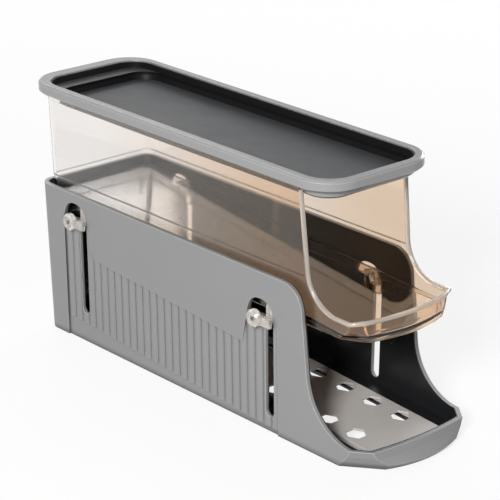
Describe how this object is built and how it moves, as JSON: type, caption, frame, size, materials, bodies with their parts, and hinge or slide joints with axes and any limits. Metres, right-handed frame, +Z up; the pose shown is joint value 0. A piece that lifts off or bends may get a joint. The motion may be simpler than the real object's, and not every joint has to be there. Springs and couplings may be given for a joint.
{
  "type": "foldable egg holder",
  "caption": "Stacked egg holder with a shallow tray, a clear sloped tier and a grey base; hooks in slotted sides let the tier sink into the base.",
  "frame": {"origin": "middle of the bounding box, on the plane that the base stands on", "axes": "+X to the front where eggs are taken out, +Y to the far side, +Z up"},
  "size_m": [0.2992, 0.092, 0.1522],
  "materials": {
    "shell_grey": "smooth satin mid grey",
    "liner_black": "glossy black",
    "ramp_grey": "satin light warm grey",
    "tier_amber": "clear polished amber plastic",
    "knob_clear": "clear polished plastic"
  },
  "bodies": {
    "base": {"base_shell": "shell_grey", "base_liner": "liner_black", "ramp_frame": "liner_black", "lower_ramp": "ramp_grey"},
    "tier": {"upper_tier": "tier_amber", "knob_near_rear": "knob_clear", "knob_near_front": "knob_clear", "knob_far_rear": "knob_clear", "knob_far_front": "knob_clear"},
    "tray": {"top_tray": "shell_grey", "tray_liner": "liner_black"}
  },
  "joints": [
    {"name": "tier_fold", "type": "slide", "parent": "base", "child": "tier", "axis": [0, 0, 1], "range_m": [-0.052, 0]},
    {"name": "tray_lift", "type": "slide", "parent": "tier", "child": "tray", "axis": [0, 0, 1], "range_m": [0, 0.06]}
  ]
}
